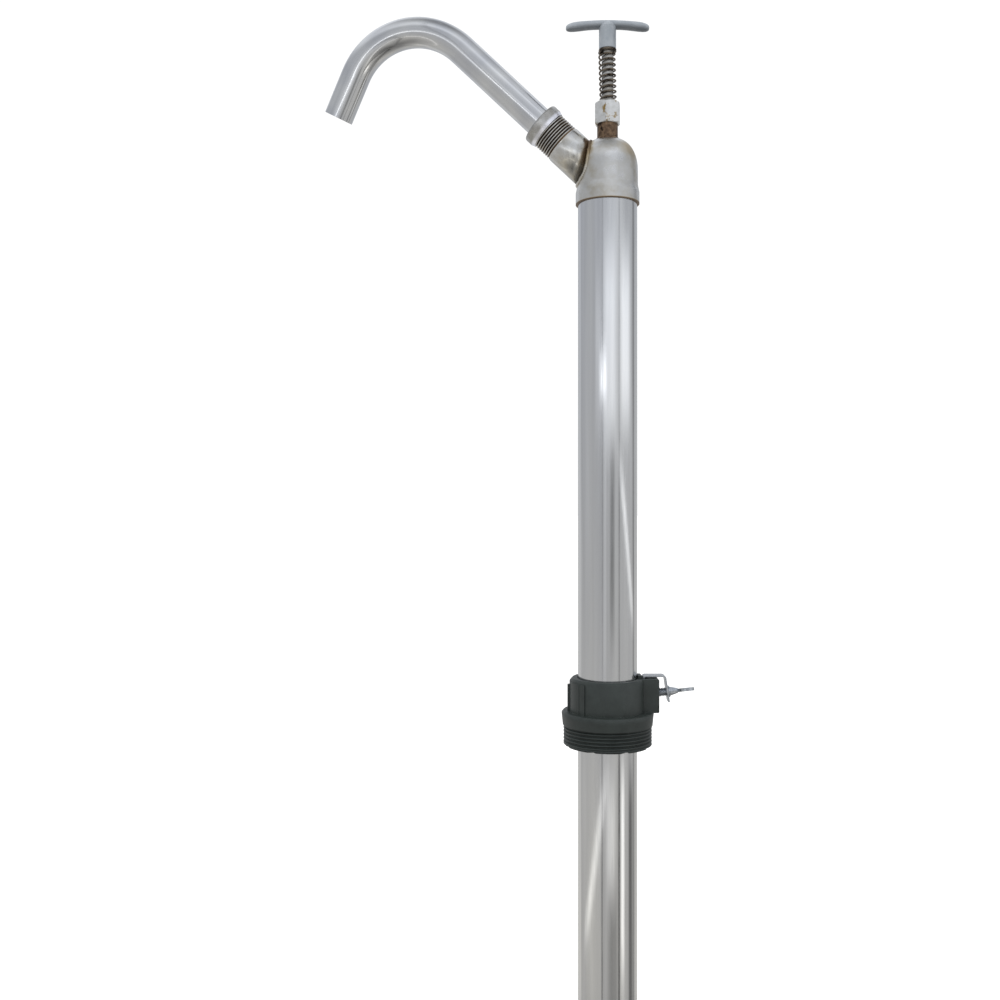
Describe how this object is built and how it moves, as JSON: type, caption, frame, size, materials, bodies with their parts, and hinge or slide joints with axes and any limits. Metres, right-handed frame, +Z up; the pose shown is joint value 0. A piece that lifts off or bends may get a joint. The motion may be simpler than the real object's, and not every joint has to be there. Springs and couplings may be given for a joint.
{
  "type": "drum barrel pump",
  "caption": "Hand pump for drums: steel barrel held in a threaded bung adaptor, with a T-handle on a sprung rod, swan-neck spout, piston and foot valve.",
  "frame": {"origin": "on the barrel's axis, at the underside of the bung adaptor's flange, where it sits on the drum's bung", "axes": "+Z up along the barrel towards the handle, +X towards the adaptor's clamp lug, the spout leans towards -X"},
  "size_m": [0.2532, 0.0626, 1.0489],
  "materials": {
    "polished_tube": "polished stainless tube",
    "head_steel": "satin stainless sheet with heat tint at the welds",
    "weld_steel": "stainless, browned by welding",
    "plated_nut": "matt nickel plating with yellow stains",
    "plain_steel": "machined stainless steel",
    "spring_steel": "bare spring wire, dull brownish",
    "zinc": "bright zinc plating",
    "handle_paint": "blue-grey enamel on a casting",
    "charcoal_plastic": "moulded charcoal nylon",
    "ptfe": "white PTFE",
    "black_rubber": "nitrile rubber",
    "bronze": "bronze bush"
  },
  "bodies": {
    "adaptor": {"bung_adaptor": "charcoal_plastic", "clamp_nut": "zinc"},
    "seal": {"adaptor_seal_ring": "black_rubber"},
    "barrel": {"barrel": "polished_tube", "head_cap": "head_steel", "gland_boss": "weld_steel", "outlet_branch": "head_steel", "gland_packing": "ptfe", "gland_follower": "bronze", "cushion_spring": "spring_steel", "spout_gasket": "ptfe", "foot_valve_body": "plain_steel", "foot_seal_ring": "black_rubber", "ball_stop_pin": "plain_steel", "foot_screws": "plain_steel", "suction_strainer": "plain_steel"},
    "clip": {"clamp_clip": "zinc"},
    "screw": {"thumb_screw": "zinc"},
    "spring_seat": {"spring_seat_washer": "spring_steel"},
    "piston_seals": {"piston_seals": "ptfe"},
    "rod": {"pump_rod": "plain_steel", "t_handle": "handle_paint", "lift_stop_collar": "plain_steel", "stop_collar_pin": "plain_steel", "piston_yoke": "plain_steel", "rod_lock_nut": "plain_steel", "piston_body": "plain_steel"},
    "piston_ball": {"piston_ball": "plain_steel"},
    "foot_ball": {"foot_ball": "plain_steel"},
    "gland_nut": {"gland_nut": "plated_nut"},
    "spout_nut": {"spout_nut": "plated_nut"},
    "spout": {"spout": "polished_tube"}
  },
  "joints": [
    {"name": "barrel_turn", "type": "hinge", "parent": "adaptor", "child": "seal", "pos_m": [0, 0, 0.0038], "axis": [0, 0, 1], "continuous": true},
    {"name": "barrel_depth", "type": "slide", "parent": "seal", "child": "barrel", "axis": [0, 0, 1], "range_m": [-0.315, 0.5]},
    {"name": "clamp_travel", "type": "slide", "parent": "adaptor", "child": "clip", "axis": [0.9945, 0, 0.1045], "range_m": [0, 0.002]},
    {"name": "thumb_screw_turn", "type": "hinge", "parent": "clip", "child": "screw", "pos_m": [0.038, 0, 0.0217], "axis": [0.9945, 0, 0.1045], "range_deg": [0, 720.2]},
    {"name": "cushion_travel", "type": "slide", "parent": "barrel", "child": "spring_seat", "axis": [0, 0, 1], "range_m": [-0.012, 0], "stiffness_N_per_m": 1500, "springref_m": 0.006, "deforming": ["cushion_spring"]},
    {"name": "pump_stroke", "type": "slide", "parent": "spring_seat", "child": "piston_seals", "axis": [0, 0, 1], "range_m": [0, 0.45]},
    {"name": "handle_turn", "type": "hinge", "parent": "piston_seals", "child": "rod", "pos_m": [0, 0, 0.47], "axis": [0, 0, 1], "continuous": true},
    {"name": "piston_valve", "type": "slide", "parent": "rod", "child": "piston_ball", "axis": [0, 0, 1], "range_m": [0, 0.0048]},
    {"name": "foot_valve", "type": "slide", "parent": "barrel", "child": "foot_ball", "axis": [0, 0, 1], "range_m": [0, 0.0058]},
    {"name": "gland_nut_turn", "type": "hinge", "parent": "barrel", "child": "gland_nut", "pos_m": [0, 0, 0.4136], "axis": [0, 0, 1], "range_deg": [-45, 360]},
    {"name": "spout_nut_turn", "type": "hinge", "parent": "barrel", "child": "spout_nut", "pos_m": [-0.04293, 0, 0.40433], "axis": [-0.7314, 0, 0.682], "range_deg": [0, 360]},
    {"name": "spout_turn", "type": "hinge", "parent": "barrel", "child": "spout", "pos_m": [-0.04315, 0, 0.40454], "axis": [-0.7314, 0, 0.682], "continuous": true}
  ],
  "couplings": [
    {"joint": "thumb_screw_turn", "follows": "clamp_travel", "rad_per_m": 6283.2}
  ]
}
